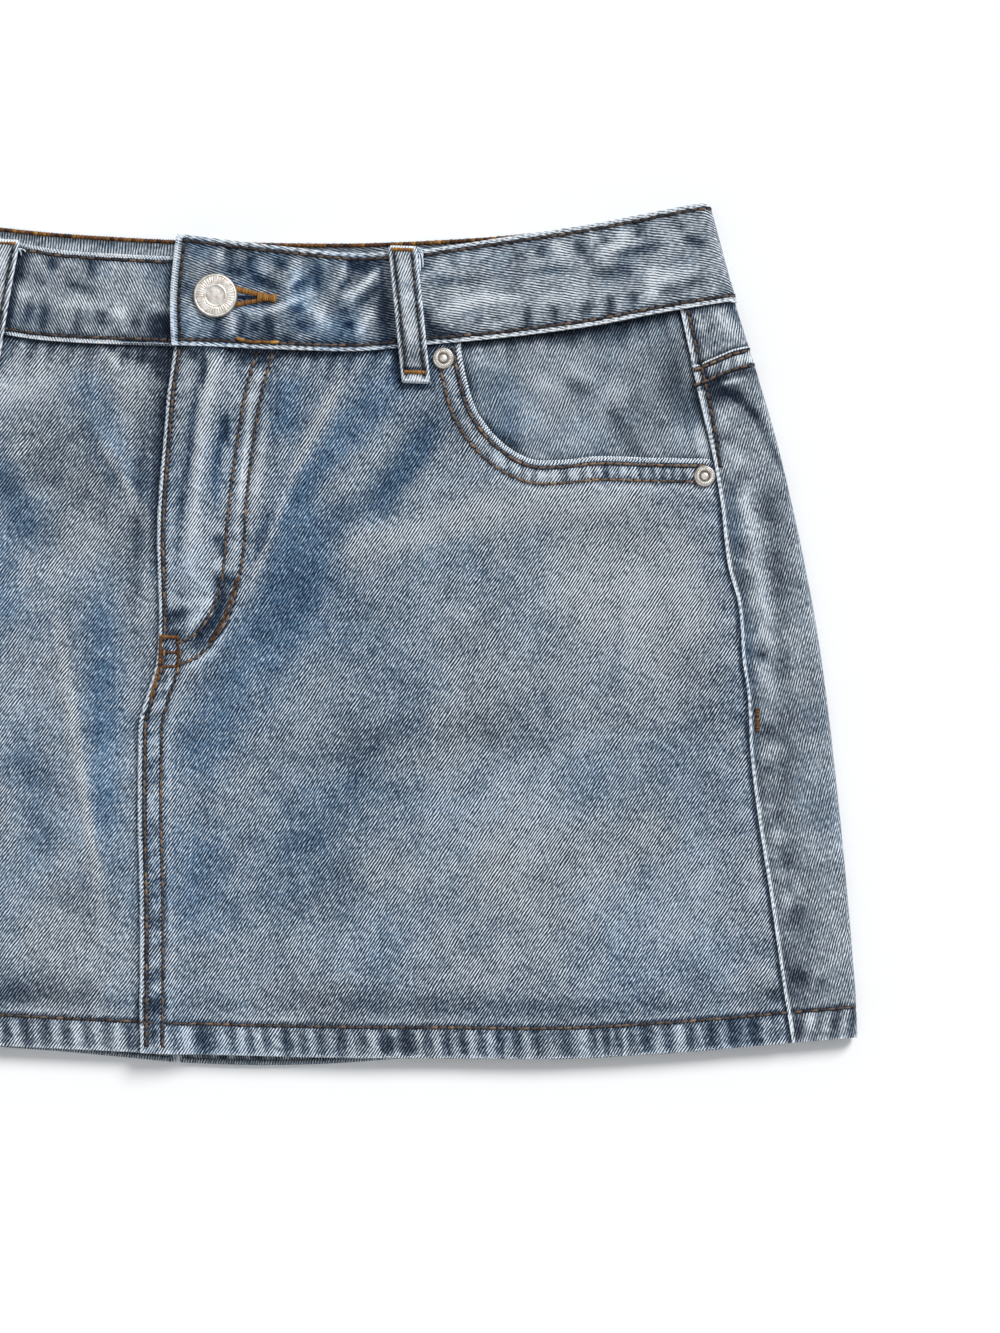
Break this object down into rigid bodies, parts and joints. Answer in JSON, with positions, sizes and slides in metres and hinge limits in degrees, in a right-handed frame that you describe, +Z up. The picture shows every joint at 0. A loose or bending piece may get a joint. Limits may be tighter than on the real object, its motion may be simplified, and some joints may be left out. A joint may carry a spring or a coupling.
{
  "type": "denim mini skirt",
  "caption": "Light-washed denim mini skirt laid flat on its back, with a buttoned waistband, belt loops, scooped front pockets, a lapped fly and a topstitched hem.",
  "frame": {"origin": "middle of the flat underside, midway between the side folds and between the highest and the lowest edge", "axes": "+X towards the wearer's left, +Y from the hem to the waist, +Z up from the surface that the skirt lies on, front side up"},
  "size_m": [0.546, 0.3518, 0.015],
  "materials": {
    "denim": "washed mid-blue denim twill, matte",
    "waistband_denim": "washed denim twill, doubled and topstitched, matte",
    "facing_denim": "washed denim twill, a little darker, matte",
    "zip_tape": "woven navy tape, matte",
    "zip_metal": "dulled brass",
    "button_metal": "worn silver plate",
    "rivet_metal": "worn silver plate"
  },
  "bodies": {
    "root": {"front_left": "denim", "front_right": "denim", "back_left": "denim", "back_right": "denim", "back_yoke_left": "denim", "back_yoke_right": "denim", "waistband": "waistband_denim", "belt_loop_front_left": "waistband_denim", "belt_loop_front_right": "waistband_denim", "belt_loop_back_left": "waistband_denim", "belt_loop_back_centre": "waistband_denim", "belt_loop_back_right": "waistband_denim", "pocket_facing_left": "facing_denim", "pocket_facing_right": "facing_denim", "zip_tape": "zip_tape", "zip_slider": "zip_metal", "waist_button": "button_metal", "rivet_left_inner": "rivet_metal", "rivet_left_outer": "rivet_metal", "rivet_right_inner": "rivet_metal", "rivet_right_outer": "rivet_metal"}
  },
  "joints": []
}
